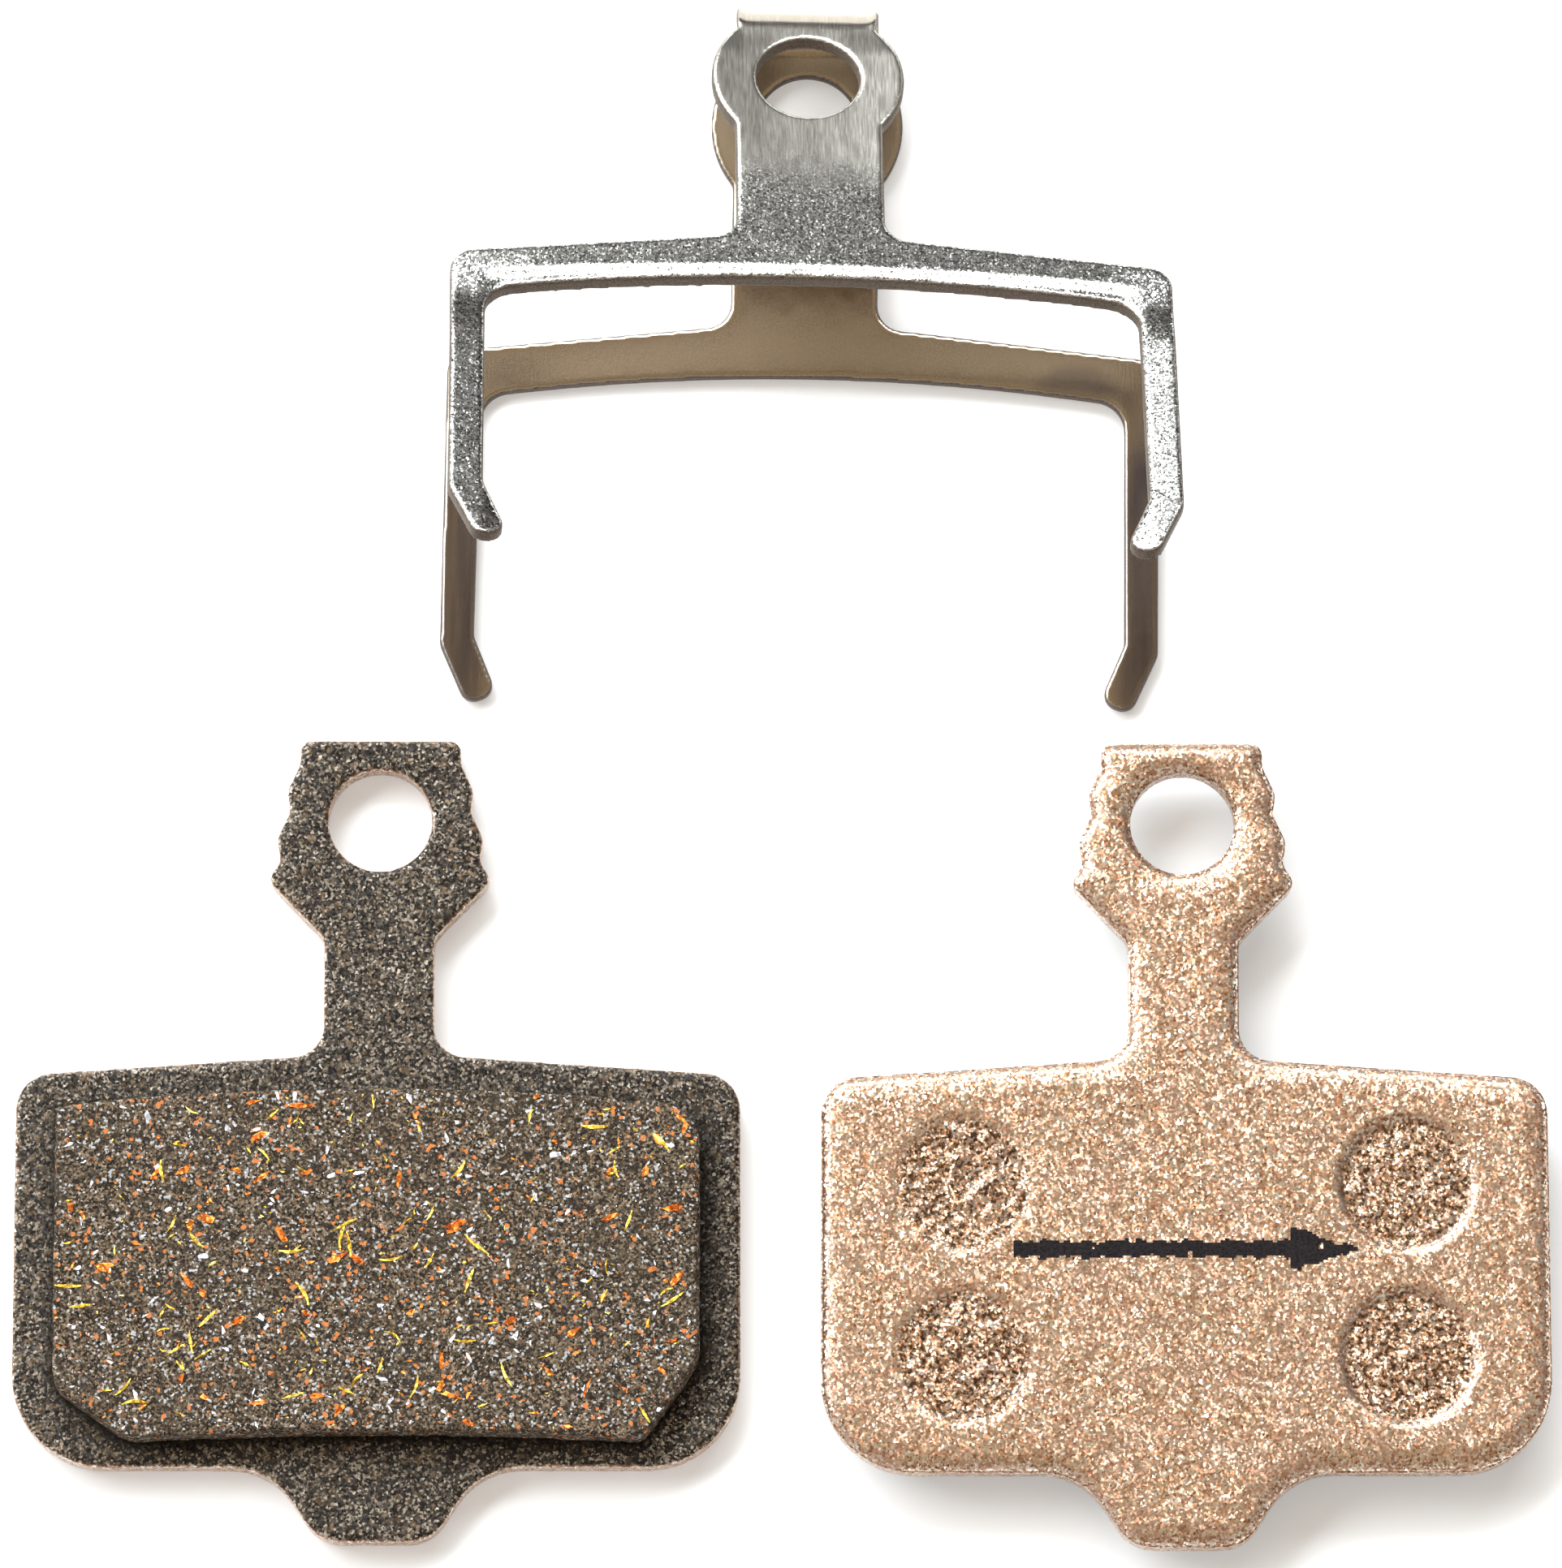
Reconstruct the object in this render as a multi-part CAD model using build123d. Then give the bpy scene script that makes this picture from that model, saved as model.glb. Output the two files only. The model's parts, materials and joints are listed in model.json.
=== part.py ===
from build123d import *
import math
import os

# A bicycle disc brake pad set, laid out flat: two pads side by side and, above them, the folded
# sheet spring that holds them apart. Millimetres, +Z up, the set rests on z = 0.

# ---- driving dimensions: the pad ----
# A pad's own frame: origin on the ear hole's axis at the back face, +Y towards the top of the ear,
# +Z from the back face towards the friction face.
PLATE_THICKNESS = 1.8
BOND_THICKNESS = 0.1
PAD_THICKNESS = 3.8
EAR_HOLE_RADIUS = 2.65
DIE_ROLL_RADIUS = 0.45          # rounded edge that blanking leaves on the back face
HOLE_ROLL_RADIUS = 0.35         # the same on the edges of the holes
BURR_EDGE_RADIUS = 0.1          # nearly sharp edge on the friction side
KEY_HOLE_RADIUS = 3.3           # holes that the moulded plugs fill
KEY_HOLE_X = 11.2
KEY_HOLE_ROWS = (-18.7, -27.55)
PLUG_GAP = 0.02                 # between a plug and its hole's wall
PLUG_RECESS = 0.22              # a plug's end lies this far inside the back face
PLUG_BITE = 0.2                 # how far a plug's cylinder runs into the block, to join it
BLOCK_EDGE_RADIUS = 0.18
BOND_INSET = 0.2                # the bond stops this far inside the block's outline

# Right half of the plate's outline from the ear's top to the tongue: x, y, corner radius.
PLATE_HALF_OUTLINE = (
    (4.10, 4.16, 0.55),         # ear's top corner
    (4.10, 2.95, 0.40),
    (4.76, 1.50, 0.50),         # first tooth
    (4.60, 0.50, 0.50),
    (5.26, -0.95, 0.50),        # second tooth
    (5.08, -2.15, 0.50),
    (5.72, -3.12, 0.50),        # third tooth
    (2.80, -6.15, 0.90),
    (2.80, -12.20, 1.65),       # foot of the neck
    (18.38, -13.25, 1.90),
    (18.42, -33.40, 4.75),
    (5.31, -33.40, 3.85),       # root of the tongue
    (2.84, -37.20, 2.10),
)

# The friction block's outline, whose two lower corners are cut differently: x, y, corner radius.
BLOCK_OUTLINE = (
    (0.0, -13.63, 150.0),       # crown of the upper edge
    (16.33, -15.17, 2.1),
    (16.33, -28.20, 1.5),
    (13.55, -32.22, 1.2),
    (0.5, -31.51, 225.0),       # crown of the lower edge
    (-12.50, -32.22, 1.5),
    (-16.25, -29.55, 1.5),
    (-16.25, -15.17, 0.9),
)

# ---- driving dimensions: the spring ----
# A leaf's own frame: origin at its ring's centre on the face turned away from the other leaf,
# +Y towards the fold, +Z towards the other leaf.
SHEET_THICKNESS = 0.8
SHEET_EDGE_RADIUS = 0.16
RING_RADIUS = 4.95
RING_HOLE_RADIUS = 2.65
FOLD_START_Y = 3.43             # where the ring's sheet starts to bend
NECK_JUNCTION_RADIUS = 0.5
FOLD_RADIUS = 1.82              # to the middle of the sheet
FOLD_HALF_WIDTH = 3.57
OPEN_ANGLE = 25.7               # between the two leaves, free
LEAF_TWIST = 3.0                # the upper leaf's roll about its own length, right side low
LEAF_SKEW = 1.65                # the upper leaf's turn in its own plane, hooks towards +X
FOLD_GAP = 0.13                 # between the fold and the skewed leaf, which are separate solids

# Right half of a leaf below its ring: x, y, corner radius.
LEAF_HALF_OUTLINE = (
    (3.78, 0.0, 0.0),           # neck, inside the ring
    (3.78, -10.75, 1.35),
    (18.35, -12.30, 1.30),      # shoulder
    (18.42, -27.86, 0.80),      # outside of the hook
    (17.03, -30.98, 0.75),
    (15.46, -30.34, 0.75),
    (16.68, -27.38, 0.80),      # inside of the hook
    (16.58, -14.62, 1.60),
)
CROSSBAR_CROWN = (0.0, -12.55, 112.0)

# ---- driving dimensions: the layout, before it is centred ----
LEFT_PAD_PLACE = (-20.45, -2.28)
RIGHT_PAD_PLACE = (20.42, -2.82)
SPRING_PLACE = (1.35, 34.75)
SPRING_YAW = -0.9


def outline_face(corners):
    """A face whose corners are rounded to their own radii."""
    points = [(x, y) for x, y, radius in corners]
    radii = [radius for x, y, radius in corners]
    return make_face(FilletPolyline(*points, radius=radii, close=True))


def mirrored(half):
    """The left half of a symmetric outline, in the order that closes it."""
    return [(-x, y, radius) for x, y, radius in reversed(half)]


def edges_at_height(solid, height):
    return [edge for edge in solid.edges() if all(abs(v.Z - height) < 1e-4 for v in edge.vertices())]


def key_places():
    return [(side * KEY_HOLE_X, row) for side in (-1, 1) for row in KEY_HOLE_ROWS]


def backing_plate():
    """Blanked steel plate with the toothed ear, the pin hole and four keying holes."""
    face = outline_face(list(PLATE_HALF_OUTLINE) + mirrored(PLATE_HALF_OUTLINE))
    blank = extrude(face, PLATE_THICKNESS)
    blank = fillet(edges_at_height(blank, 0.0), DIE_ROLL_RADIUS)
    blank = fillet(edges_at_height(blank, PLATE_THICKNESS), BURR_EDGE_RADIUS)
    holes = [(0.0, 0.0, EAR_HOLE_RADIUS)]
    holes += [(x, y, KEY_HOLE_RADIUS) for x, y in key_places()]
    for x, y, radius in holes:
        bore = Cylinder(radius, PLATE_THICKNESS, align=(Align.CENTER, Align.CENTER, Align.MIN))
        blank -= Pos(x, y, 0) * bore
    hole_edges = [edge for edge in edges_at_height(blank, 0.0) if is_hole_edge(edge, holes)]
    return fillet(hole_edges, HOLE_ROLL_RADIUS)


def is_hole_edge(edge, holes):
    if edge.geom_type != GeomType.CIRCLE:
        return False
    centre = edge.arc_center
    return any(math.hypot(centre.X - x, centre.Y - y) < 0.01 for x, y, radius in holes)


def friction_block():
    """Moulded friction block, one piece with the plugs that fill the keying holes."""
    base = PLATE_THICKNESS + BOND_THICKNESS
    block = Pos(0, 0, base) * extrude(outline_face(BLOCK_OUTLINE), PAD_THICKNESS - base)
    block = fillet(edges_at_height(block, PAD_THICKNESS), BLOCK_EDGE_RADIUS)
    plug_length = base + PLUG_BITE - PLUG_RECESS
    plug = Cylinder(KEY_HOLE_RADIUS - PLUG_GAP, plug_length, align=(Align.CENTER, Align.CENTER, Align.MIN))
    for x, y in key_places():
        block += Pos(x, y, PLUG_RECESS) * plug
    return block


def bond_layer():
    """Thin adhesive film between the plate and the block, open where the plugs pass."""
    film_face = offset(outline_face(BLOCK_OUTLINE), -BOND_INSET)
    film = Pos(0, 0, PLATE_THICKNESS) * extrude(film_face, BOND_THICKNESS)
    opening = Cylinder(KEY_HOLE_RADIUS, PAD_THICKNESS, align=(Align.CENTER, Align.CENTER, Align.MIN))
    for x, y in key_places():
        film -= Pos(x, y, 0) * opening
    return film


def leaf():
    """One leaf of the spring, flat: ring, neck, crossbar and two hooked arms."""
    frame = list(LEAF_HALF_OUTLINE) + [CROSSBAR_CROWN] + mirrored(LEAF_HALF_OUTLINE)
    ring = Circle(RING_RADIUS) - Pos(0, FOLD_START_Y + RING_RADIUS) * Rectangle(
        2 * RING_RADIUS, 2 * RING_RADIUS
    )
    sheet = ring + outline_face(frame)
    neck_x = LEAF_HALF_OUTLINE[0][0]
    junctions = [
        v for v in sheet.vertices() if abs(abs(v.X) - neck_x) < 0.01 and -RING_RADIUS < v.Y < -1.0
    ]
    sheet = fillet(junctions, NECK_JUNCTION_RADIUS)
    sheet -= Circle(RING_HOLE_RADIUS)
    solid = extrude(sheet, SHEET_THICKNESS)
    outside = [edge for edge in edges_at_height(solid, 0.0) if edge.center().Y < FOLD_START_Y - 0.01]
    return fillet(outside, SHEET_EDGE_RADIUS)


def upper_leaf_place():
    """Carries a leaf from its own frame to the far end of the fold, open and slightly twisted."""
    turn = math.radians(180 - OPEN_ANGLE)
    middle = SHEET_THICKNESS / 2
    end_y = FOLD_START_Y + FOLD_RADIUS * math.sin(turn)
    end_z = middle + FOLD_RADIUS * (1 - math.cos(turn))
    at_fold_end = Pos(0, end_y, end_z) * Rot(-OPEN_ANGLE, 0, 0)
    turned_over = Rot(0, 180, 0)
    back_to_ring = Pos(0, -FOLD_START_Y - FOLD_GAP, 0)
    twist = Rot(0, 0, LEAF_SKEW) * Rot(0, LEAF_TWIST, 0)
    return at_fold_end * back_to_ring * twist * turned_over * Pos(0, 0, -middle)


def fold():
    """The round bend that joins the two leaves."""
    middle = SHEET_THICKNESS / 2
    centre_z = middle + FOLD_RADIUS
    sweep = math.radians(180 - OPEN_ANGLE)

    def on_arc(radius, angle):
        return (radius * math.sin(angle), centre_z - radius * math.cos(angle))

    outer = FOLD_RADIUS + middle
    inner = FOLD_RADIUS - middle
    outer_arc = ThreePointArc(on_arc(outer, 0), on_arc(outer, sweep / 2), on_arc(outer, sweep))
    inner_arc = ThreePointArc(on_arc(inner, sweep), on_arc(inner, sweep / 2), on_arc(inner, 0))
    far_end = Line(on_arc(outer, sweep), on_arc(inner, sweep))
    near_end = Line(on_arc(inner, 0), on_arc(outer, 0))
    section = make_face([outer_arc, far_end, inner_arc, near_end])
    strip = extrude(Plane.YZ * section, FOLD_HALF_WIDTH, both=True)
    return Pos(0, FOLD_START_Y, 0) * strip


def build_set():
    """Every node by name, in the layout's frame, centred over the origin."""
    left = Pos(*LEFT_PAD_PLACE, 0)
    right = Pos(*RIGHT_PAD_PLACE, PAD_THICKNESS) * Rot(0, 180, 0)
    spring = Pos(*SPRING_PLACE, 0) * Rot(0, 0, SPRING_YAW)
    pad_pieces = {
        "backing_plate": backing_plate(),
        "friction_block": friction_block(),
        "bond_layer": bond_layer(),
    }
    nodes = {}
    for side, place in (("left", left), ("right", right)):
        for piece, solid in pad_pieces.items():
            nodes[f"{side}_{piece}"] = place * solid
    flat_leaf = leaf()
    nodes["spring_lower_leaf"] = spring * flat_leaf
    nodes["spring_fold"] = spring * fold()
    nodes["spring_upper_leaf"] = spring * upper_leaf_place() * flat_leaf
    boxes = [node.bounding_box() for node in nodes.values()]
    middle_x = (min(box.min.X for box in boxes) + max(box.max.X for box in boxes)) / 2
    middle_y = (min(box.min.Y for box in boxes) + max(box.max.Y for box in boxes)) / 2
    to_centre = Pos(-middle_x, -middle_y, -min(box.min.Z for box in boxes))
    return {name: to_centre * node for name, node in nodes.items()}, to_centre


def main():
    os.makedirs("parts", exist_ok=True)
    nodes, to_centre = build_set()
    for name, node in nodes.items():
        export_step(node, f"parts/{name}.step")
    print("layout moved by", to_centre.position)


main()
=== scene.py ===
import bpy
import itertools
import json
import math
import numpy as np
from mathutils import Matrix, Vector
from mathutils.bvhtree import BVHTree
from mathutils.kdtree import KDTree


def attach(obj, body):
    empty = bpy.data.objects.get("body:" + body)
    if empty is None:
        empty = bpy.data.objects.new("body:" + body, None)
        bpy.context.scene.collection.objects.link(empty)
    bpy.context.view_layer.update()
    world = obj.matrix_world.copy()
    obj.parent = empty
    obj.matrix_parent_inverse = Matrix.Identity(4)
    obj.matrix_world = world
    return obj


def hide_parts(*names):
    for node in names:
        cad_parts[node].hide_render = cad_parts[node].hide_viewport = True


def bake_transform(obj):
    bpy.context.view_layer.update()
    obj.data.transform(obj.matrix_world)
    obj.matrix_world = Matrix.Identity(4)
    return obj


# The looks of a bicycle brake pad set: two pads and the folded sheet spring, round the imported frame.
# Meshes are worked out in millimetres, the pads' in a pad's own frame and the spring's in the set's
# frame, and they are placed in metres.

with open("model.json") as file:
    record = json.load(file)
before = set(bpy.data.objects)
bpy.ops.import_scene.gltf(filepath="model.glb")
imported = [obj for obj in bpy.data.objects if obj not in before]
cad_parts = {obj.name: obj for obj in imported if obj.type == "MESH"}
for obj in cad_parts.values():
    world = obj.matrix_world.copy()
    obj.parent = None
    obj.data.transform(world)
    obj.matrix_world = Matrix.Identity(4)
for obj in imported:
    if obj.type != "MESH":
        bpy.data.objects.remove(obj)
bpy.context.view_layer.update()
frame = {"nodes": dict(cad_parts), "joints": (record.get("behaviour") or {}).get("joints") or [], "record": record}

MM = 0.001
REST_GAP = 0.004                        # millimetres between the lowest points and the floor
SKIN_SMOOTHING = 2                      # rounds of smoothing after a skin is remeshed

# ---- camera ----
VIEW_TILT = math.radians(12.5)          # from straight overhead towards -Y
VIEW_DISTANCE = 600 * MM
FRAME_WIDTH = 80.0 * MM                 # what the picture's width covers at the set's middle
VIEW_AIM = (0.015 * MM, -0.218 * MM, 0)
SENSOR = 36.0
CLIP_RANGE = (10 * MM, 20.0)

# ---- pad, in its own frame: origin on the ear hole's axis at the back face, +Z to the friction face ----
PLATE_THICKNESS = 1.8
PAD_THICKNESS = 3.8
PLUG_X = 11.2
PLUG_ROWS = (-18.7, -27.55)
# A plug's radius, and how far its end lies inside the back face: sunk at -X, and run over flush at +X.
SUNK_PLUG = (3.36, 0.24)
FLUSH_PLUG = (3.60, 0.07)
PLUG_STUB = 1.2                         # the block's plugs end here, inside the coated plugs
PLUG_COVER = 0.1                        # how far the coated plugs stop short of the friction side
PLATE_VOXEL = 0.17
EDGE_ROLL_DEPTH = 0.17
EDGE_ROLL_WIDTH = 1.25
EDGE_ROLL_POWER = 1.4
# how far the painted shade round the block's foot reaches
SHADE_REACH = 0.9
BLOCK_EDGE_X = (15.6, 16.4)             # across the block's right edge, past which the painted shade reaches further
BLOCK_VOXEL = 0.15
FACE_SINK = 0.035                       # leaves room for the flecks that stand proud of the friction face
NICK_PLACE = (12.9, -14.85)             # a chip knocked out of the block's upper edge
NICK_SIZE = (0.22, 0.42)
NICK_DEPTH = 0.3
FLECK_X = (-16.2, 16.2)
FLECK_Y = (-32.1, -13.7)
FLECK_KINDS = (
    {"name": "copper_chips", "count": 230, "length": (0.18, 1.5), "rarity": 3.6, "slimness": (0.16, 0.38),
     "least_width": 0.08, "lie": (0.25, 0.75), "curled": False, "proud": 0.022, "thickness": 0.16,
     "material": "copper_chip", "dark": (0.36, 0.065, 0.010), "light": (0.85, 0.25, 0.05),
     "roughness": 0.42, "metallic": 1.0},
    {"name": "brass_shavings", "count": 210, "length": (0.16, 1.5), "rarity": 3.4, "slimness": (0.06, 0.14),
     "least_width": 0.05, "lie": (0.1, 1.0), "curled": True, "proud": 0.028, "thickness": 0.14,
     "material": "brass_shaving", "dark": (0.42, 0.24, 0.02), "light": (0.95, 0.66, 0.11),
     "roughness": 0.40, "metallic": 1.0},
    {"name": "pale_chips", "count": 1200, "length": (0.08, 0.75), "rarity": 7.0, "slimness": (0.2, 0.5),
     "least_width": 0.035, "lie": (0.3, 0.9), "curled": False, "proud": 0.016, "thickness": 0.12,
     "material": "pale_chip", "dark": (0.30, 0.30, 0.34), "light": (0.92, 0.93, 0.98),
     "roughness": 0.40, "metallic": 0.6},
)

# ---- the printed mark: a plain arrow that shows which way the disc turns ----
MARK_CENTRE_Y = -22.05
MARK_LENGTH = 17.4
MARK_HEAD_LENGTH = 3.4
MARK_HEAD_HEIGHT = 2.3
MARK_BAR_HEIGHT = 0.85
MARK_CELL = 0.11
MARK_LIFT = 0.02                        # how far the ink reaches to each side of the coat's surface
MARK_RAGGEDNESS = 0.16
MARK_WORN_FROM = 0.72                   # the ink is gone where the wear noise is above this

# ---- spring ----
SHEET = 0.8
FOLD_START = 3.43                       # from a ring's centre to where the fold begins
FOLD_HALF_WIDTH = 3.57
FOLD_STEPS = 40
FOLD_COLUMNS = 33
FOLD_OVERLAP = 0.10                     # how far the fold's sweep runs into each leaf
FOLD_FLARE = 0.20                       # how far its side edges curl outwards at mid-bend
FOLD_WIDENING = 0.03
LEAF_PARTING_SLOPE = -0.23              # of the plane through the fold that parts the two leaves
SPRING_VOXEL = 0.115

# ---- stage ----
FLOOR_HALF_WIDTH = 2.0
LIGHT_DISTANCE = 1.5
COOL_WHITE = (0.90, 0.96, 1.0)

# ---- seeds: the right pad's are SIDE_SEED_STEP above the left pad's ----
SIDE_SEED_STEP = 50
PLATE_SEED = 100
BLOCK_SEED = 300
FLECK_SEED = 500
MARK_SEED = 700
SPRING_SEED = 51

# Multipliers that scramble a lattice point's whole numbers and its seed.
HASH_X, HASH_Y, HASH_Z = 374761393, 668265263, 2147483647
HASH_SEED, HASH_MIX = 974634777, 1274126177


# =====================================================================================
# helpers: arrays and meshes
# =====================================================================================

def smoothstep(value, start, end):
    """0 at start and 1 at end, which may lie below start, with a smooth rise between."""
    part = np.clip((value - start) / (end - start), 0.0, 1.0)
    return part * part * (3 - 2 * part)


def lattice_noise(points, size, seed):
    """Smooth noise between -1 and 1 with features about size across, the same on every run."""
    place = points / size + seed * 37.7
    cell = np.floor(place).astype(np.int64)
    part = place - cell
    part = part * part * (3 - 2 * part)
    total = np.zeros(len(points))
    for corner in itertools.product((0, 1), repeat=3):
        x, y, z = (cell + corner).T
        mixed = (x * HASH_X + y * HASH_Y + z * HASH_Z + seed * HASH_SEED) & 0xFFFFFFFF
        mixed = ((mixed ^ (mixed >> 13)) * HASH_MIX) & 0xFFFFFFFF
        value = ((mixed ^ (mixed >> 16)) & 0xFFFF) / 32767.5 - 1
        total += value * np.prod(np.where(corner, part, 1 - part), axis=1)
    return total


def moved(points, matrix):
    table = np.array(matrix)
    return points @ table[:3, :3].T + table[:3, 3]


def read_points(mesh):
    points = np.empty(len(mesh.vertices) * 3, np.float32)
    mesh.vertices.foreach_get("co", points)
    return points.reshape(-1, 3).astype(float)


def read_normals(mesh):
    normals = np.empty(len(mesh.vertices) * 3, np.float32)
    mesh.vertex_normals.foreach_get("vector", normals)
    return normals.reshape(-1, 3).astype(float)


def node_shell(name, to_own_frame):
    """A CAD node's points, in millimetres in the frame given, and its faces."""
    mesh = frame["nodes"][name].data
    points = moved(read_points(mesh) / MM, to_own_frame)
    return points, [list(face.vertices) for face in mesh.polygons]


def prism(outline, low, high):
    """A closed slab from low to high, with a flat outline whose corners turn anticlockwise."""
    count = len(outline)
    points = np.concatenate([np.column_stack([outline, np.full(count, z)]) for z in (low, high)])
    sides = [[i, (i + 1) % count, count + (i + 1) % count, count + i] for i in range(count)]
    return points, [list(range(count))[::-1], list(range(count, 2 * count))] + sides


def circle_outline(centre, radius, steps=96):
    angles = np.arange(steps) * math.tau / steps
    return np.stack([centre[0] + radius * np.cos(angles), centre[1] + radius * np.sin(angles)], axis=1)


def joined(shells):
    """Several shells' points and faces as one shell's."""
    points, faces, start = [], [], 0
    for shell_points, shell_faces in shells:
        points.append(shell_points)
        faces += [[start + corner for corner in face] for face in shell_faces]
        start += len(shell_points)
    return np.concatenate(points), faces


def make_mesh(name, points, faces):
    mesh = bpy.data.meshes.new(name)
    mesh.from_pydata([tuple(point) for point in points], [], faces)
    mesh.update()
    return mesh


def mesh_tree(mesh, points):
    """A search tree over a mesh's faces, with its corners at the points given."""
    faces = [tuple(face.vertices) for face in mesh.polygons]
    return BVHTree.FromPolygons([tuple(point) for point in points], faces)


def skin(name, shells, voxel):
    """One closed skin round closed shells that may overlap."""
    source = make_mesh(name, *joined(shells))
    holder = bpy.data.objects.new(name, source)
    bpy.context.scene.collection.objects.link(holder)
    remesh = holder.modifiers.new("skin", "REMESH")
    remesh.mode = "VOXEL"
    remesh.voxel_size = voxel
    smooth = holder.modifiers.new("smooth", "SMOOTH")
    smooth.factor = 0.5
    smooth.iterations = SKIN_SMOOTHING
    evaluated = holder.evaluated_get(bpy.context.evaluated_depsgraph_get())
    mesh = bpy.data.meshes.new_from_object(evaluated)
    bpy.data.objects.remove(holder)
    bpy.data.meshes.remove(source)
    mesh.name = name
    return mesh


def add_attribute(mesh, name, values):
    """Gives each point of a mesh a number or a vector that its material can read."""
    if values.ndim == 1:
        attribute = mesh.attributes.new(name, "FLOAT", "POINT")
        attribute.data.foreach_set("value", values.astype(np.float32))
    else:
        attribute = mesh.attributes.new(name, "FLOAT_VECTOR", "POINT")
        attribute.data.foreach_set("vector", values.astype(np.float32).ravel())


def place_piece(name, mesh, own_points, to_frame, material, smooth=True):
    """Writes the points back in metres in the set's frame, above the floor, and gives the new object."""
    placed = moved(own_points, to_frame)
    placed[:, 2] = np.maximum(placed[:, 2], REST_GAP)
    mesh.vertices.foreach_set("co", (placed * MM).astype(np.float32).ravel())
    mesh.polygons.foreach_set("use_smooth", np.full(len(mesh.polygons), smooth))
    mesh.materials.clear()
    mesh.materials.append(material)
    mesh.update()
    piece = bpy.data.objects.new(name, mesh)
    bpy.context.scene.collection.objects.link(piece)
    return piece


# =====================================================================================
# helpers: shader nodes
# =====================================================================================

# Sockets of a mix node that mixes colours.
MIX_SHARE, MIX_FIRST, MIX_SECOND, MIX_RESULT = 0, 6, 7, 2


class NodeGraph:
    """Short calls for a node tree. A value given to a node may be another node's socket."""

    def __init__(self, tree):
        self.tree = tree

    def node(self, kind, values=None, **settings):
        made = self.tree.nodes.new(kind)
        for key, value in settings.items():
            setattr(made, key, value)
        for key, value in (values or {}).items():
            self.put(made.inputs[key], value)
        return made

    def put(self, socket, value):
        if isinstance(value, bpy.types.NodeSocket):
            self.tree.links.new(value, socket)
        else:
            socket.default_value = value

    def mix(self, share, first, second):
        values = {MIX_SHARE: share, MIX_FIRST: first, MIX_SECOND: second}
        return self.node("ShaderNodeMix", values, data_type="RGBA").outputs[MIX_RESULT]

    def span(self, value, low, high, to_low=0.0, to_high=1.0):
        """value taken from low..high to to_low..to_high, smoothly and clamped."""
        values = {"Value": value, "From Min": low, "From Max": high, "To Min": to_low, "To Max": to_high}
        return self.node("ShaderNodeMapRange", values, interpolation_type="SMOOTHSTEP").outputs[0]


class Shader(NodeGraph):
    """A material, with calls for the patterns that its surface is made of."""

    def __init__(self, name):
        self.material = bpy.data.materials.new(name)
        self.material.use_nodes = True
        super().__init__(self.material.node_tree)
        self.surface = self.tree.nodes["Principled BSDF"]
        self.place = self.node("ShaderNodeTexCoord").outputs["Object"]

    def set(self, **values):
        """Sets the surface's own sockets, whose names have _ for a space here."""
        for key, value in values.items():
            self.put(self.surface.inputs[key.replace("_", " ")], value)

    def math(self, operation, first, second=0.0, third=0.0):
        values = {0: first, 1: second, 2: third}
        return self.node("ShaderNodeMath", values, operation=operation).outputs[0]

    def vector(self, operation, first, second=(0, 0, 0)):
        return self.node("ShaderNodeVectorMath", {0: first, 1: second}, operation=operation).outputs[0]

    def scaled(self, vector, amount):
        return self.node("ShaderNodeVectorMath", {0: vector, "Scale": amount}, operation="SCALE").outputs[0]

    def noise(self, size, detail=2.0, place=None):
        """Noise with features about size millimetres across."""
        values = {"Vector": place or self.place, "Scale": 1 / (size * MM), "Detail": detail}
        return self.node("ShaderNodeTexNoise", values).outputs["Fac"]

    def cells(self, size, shift=None):
        """Irregular cells about size millimetres across: the node, whose Color differs in each cell."""
        place = self.vector("ADD", self.place, shift) if shift else self.place
        return self.node("ShaderNodeTexVoronoi", {"Vector": place, "Scale": 1 / (size * MM)})

    def cell_value(self, cells):
        """A number that is the same all over a cell."""
        return self.node("ShaderNodeSeparateColor", {0: cells.outputs["Color"]}).outputs[0]

    def attribute(self, name, output="Fac"):
        return self.node("ShaderNodeAttribute", attribute_name=name).outputs[output]

    def ramp(self, value, stops):
        """A colour from a value, through stops of (position, colour)."""
        made = self.node("ShaderNodeValToRGB", {0: value})
        elements = made.color_ramp.elements
        while len(elements) < len(stops):
            elements.new(0.5)
        for element, (position, colour) in zip(elements, stops):
            element.position = position
            element.color = (*colour, 1)
        return made.outputs["Color"]

    def blended(self, grain, share, noise):
        """A cell value and a noise added in the shares share and 1 - share."""
        return self.math("MULTIPLY_ADD", grain, share, self.math("MULTIPLY", noise, 1 - share))

    def flake_normal(self, cells, tilt, base=None):
        """A normal that tips a random way in each cell, as the flakes in a coat lie."""
        base = base or self.node("ShaderNodeNewGeometry").outputs["Normal"]
        tip = self.vector("SUBTRACT", cells.outputs["Color"], (0.5, 0.5, 0.5))
        return self.vector("NORMALIZE", self.vector("ADD", base, self.scaled(tip, tilt)))

    def bump(self, height, depth):
        """A normal from a height whose full range is depth millimetres."""
        values = {"Height": height, "Distance": depth * MM, "Strength": 1.0}
        return self.node("ShaderNodeBump", values).outputs["Normal"]


# =====================================================================================
# materials
# =====================================================================================

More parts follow.
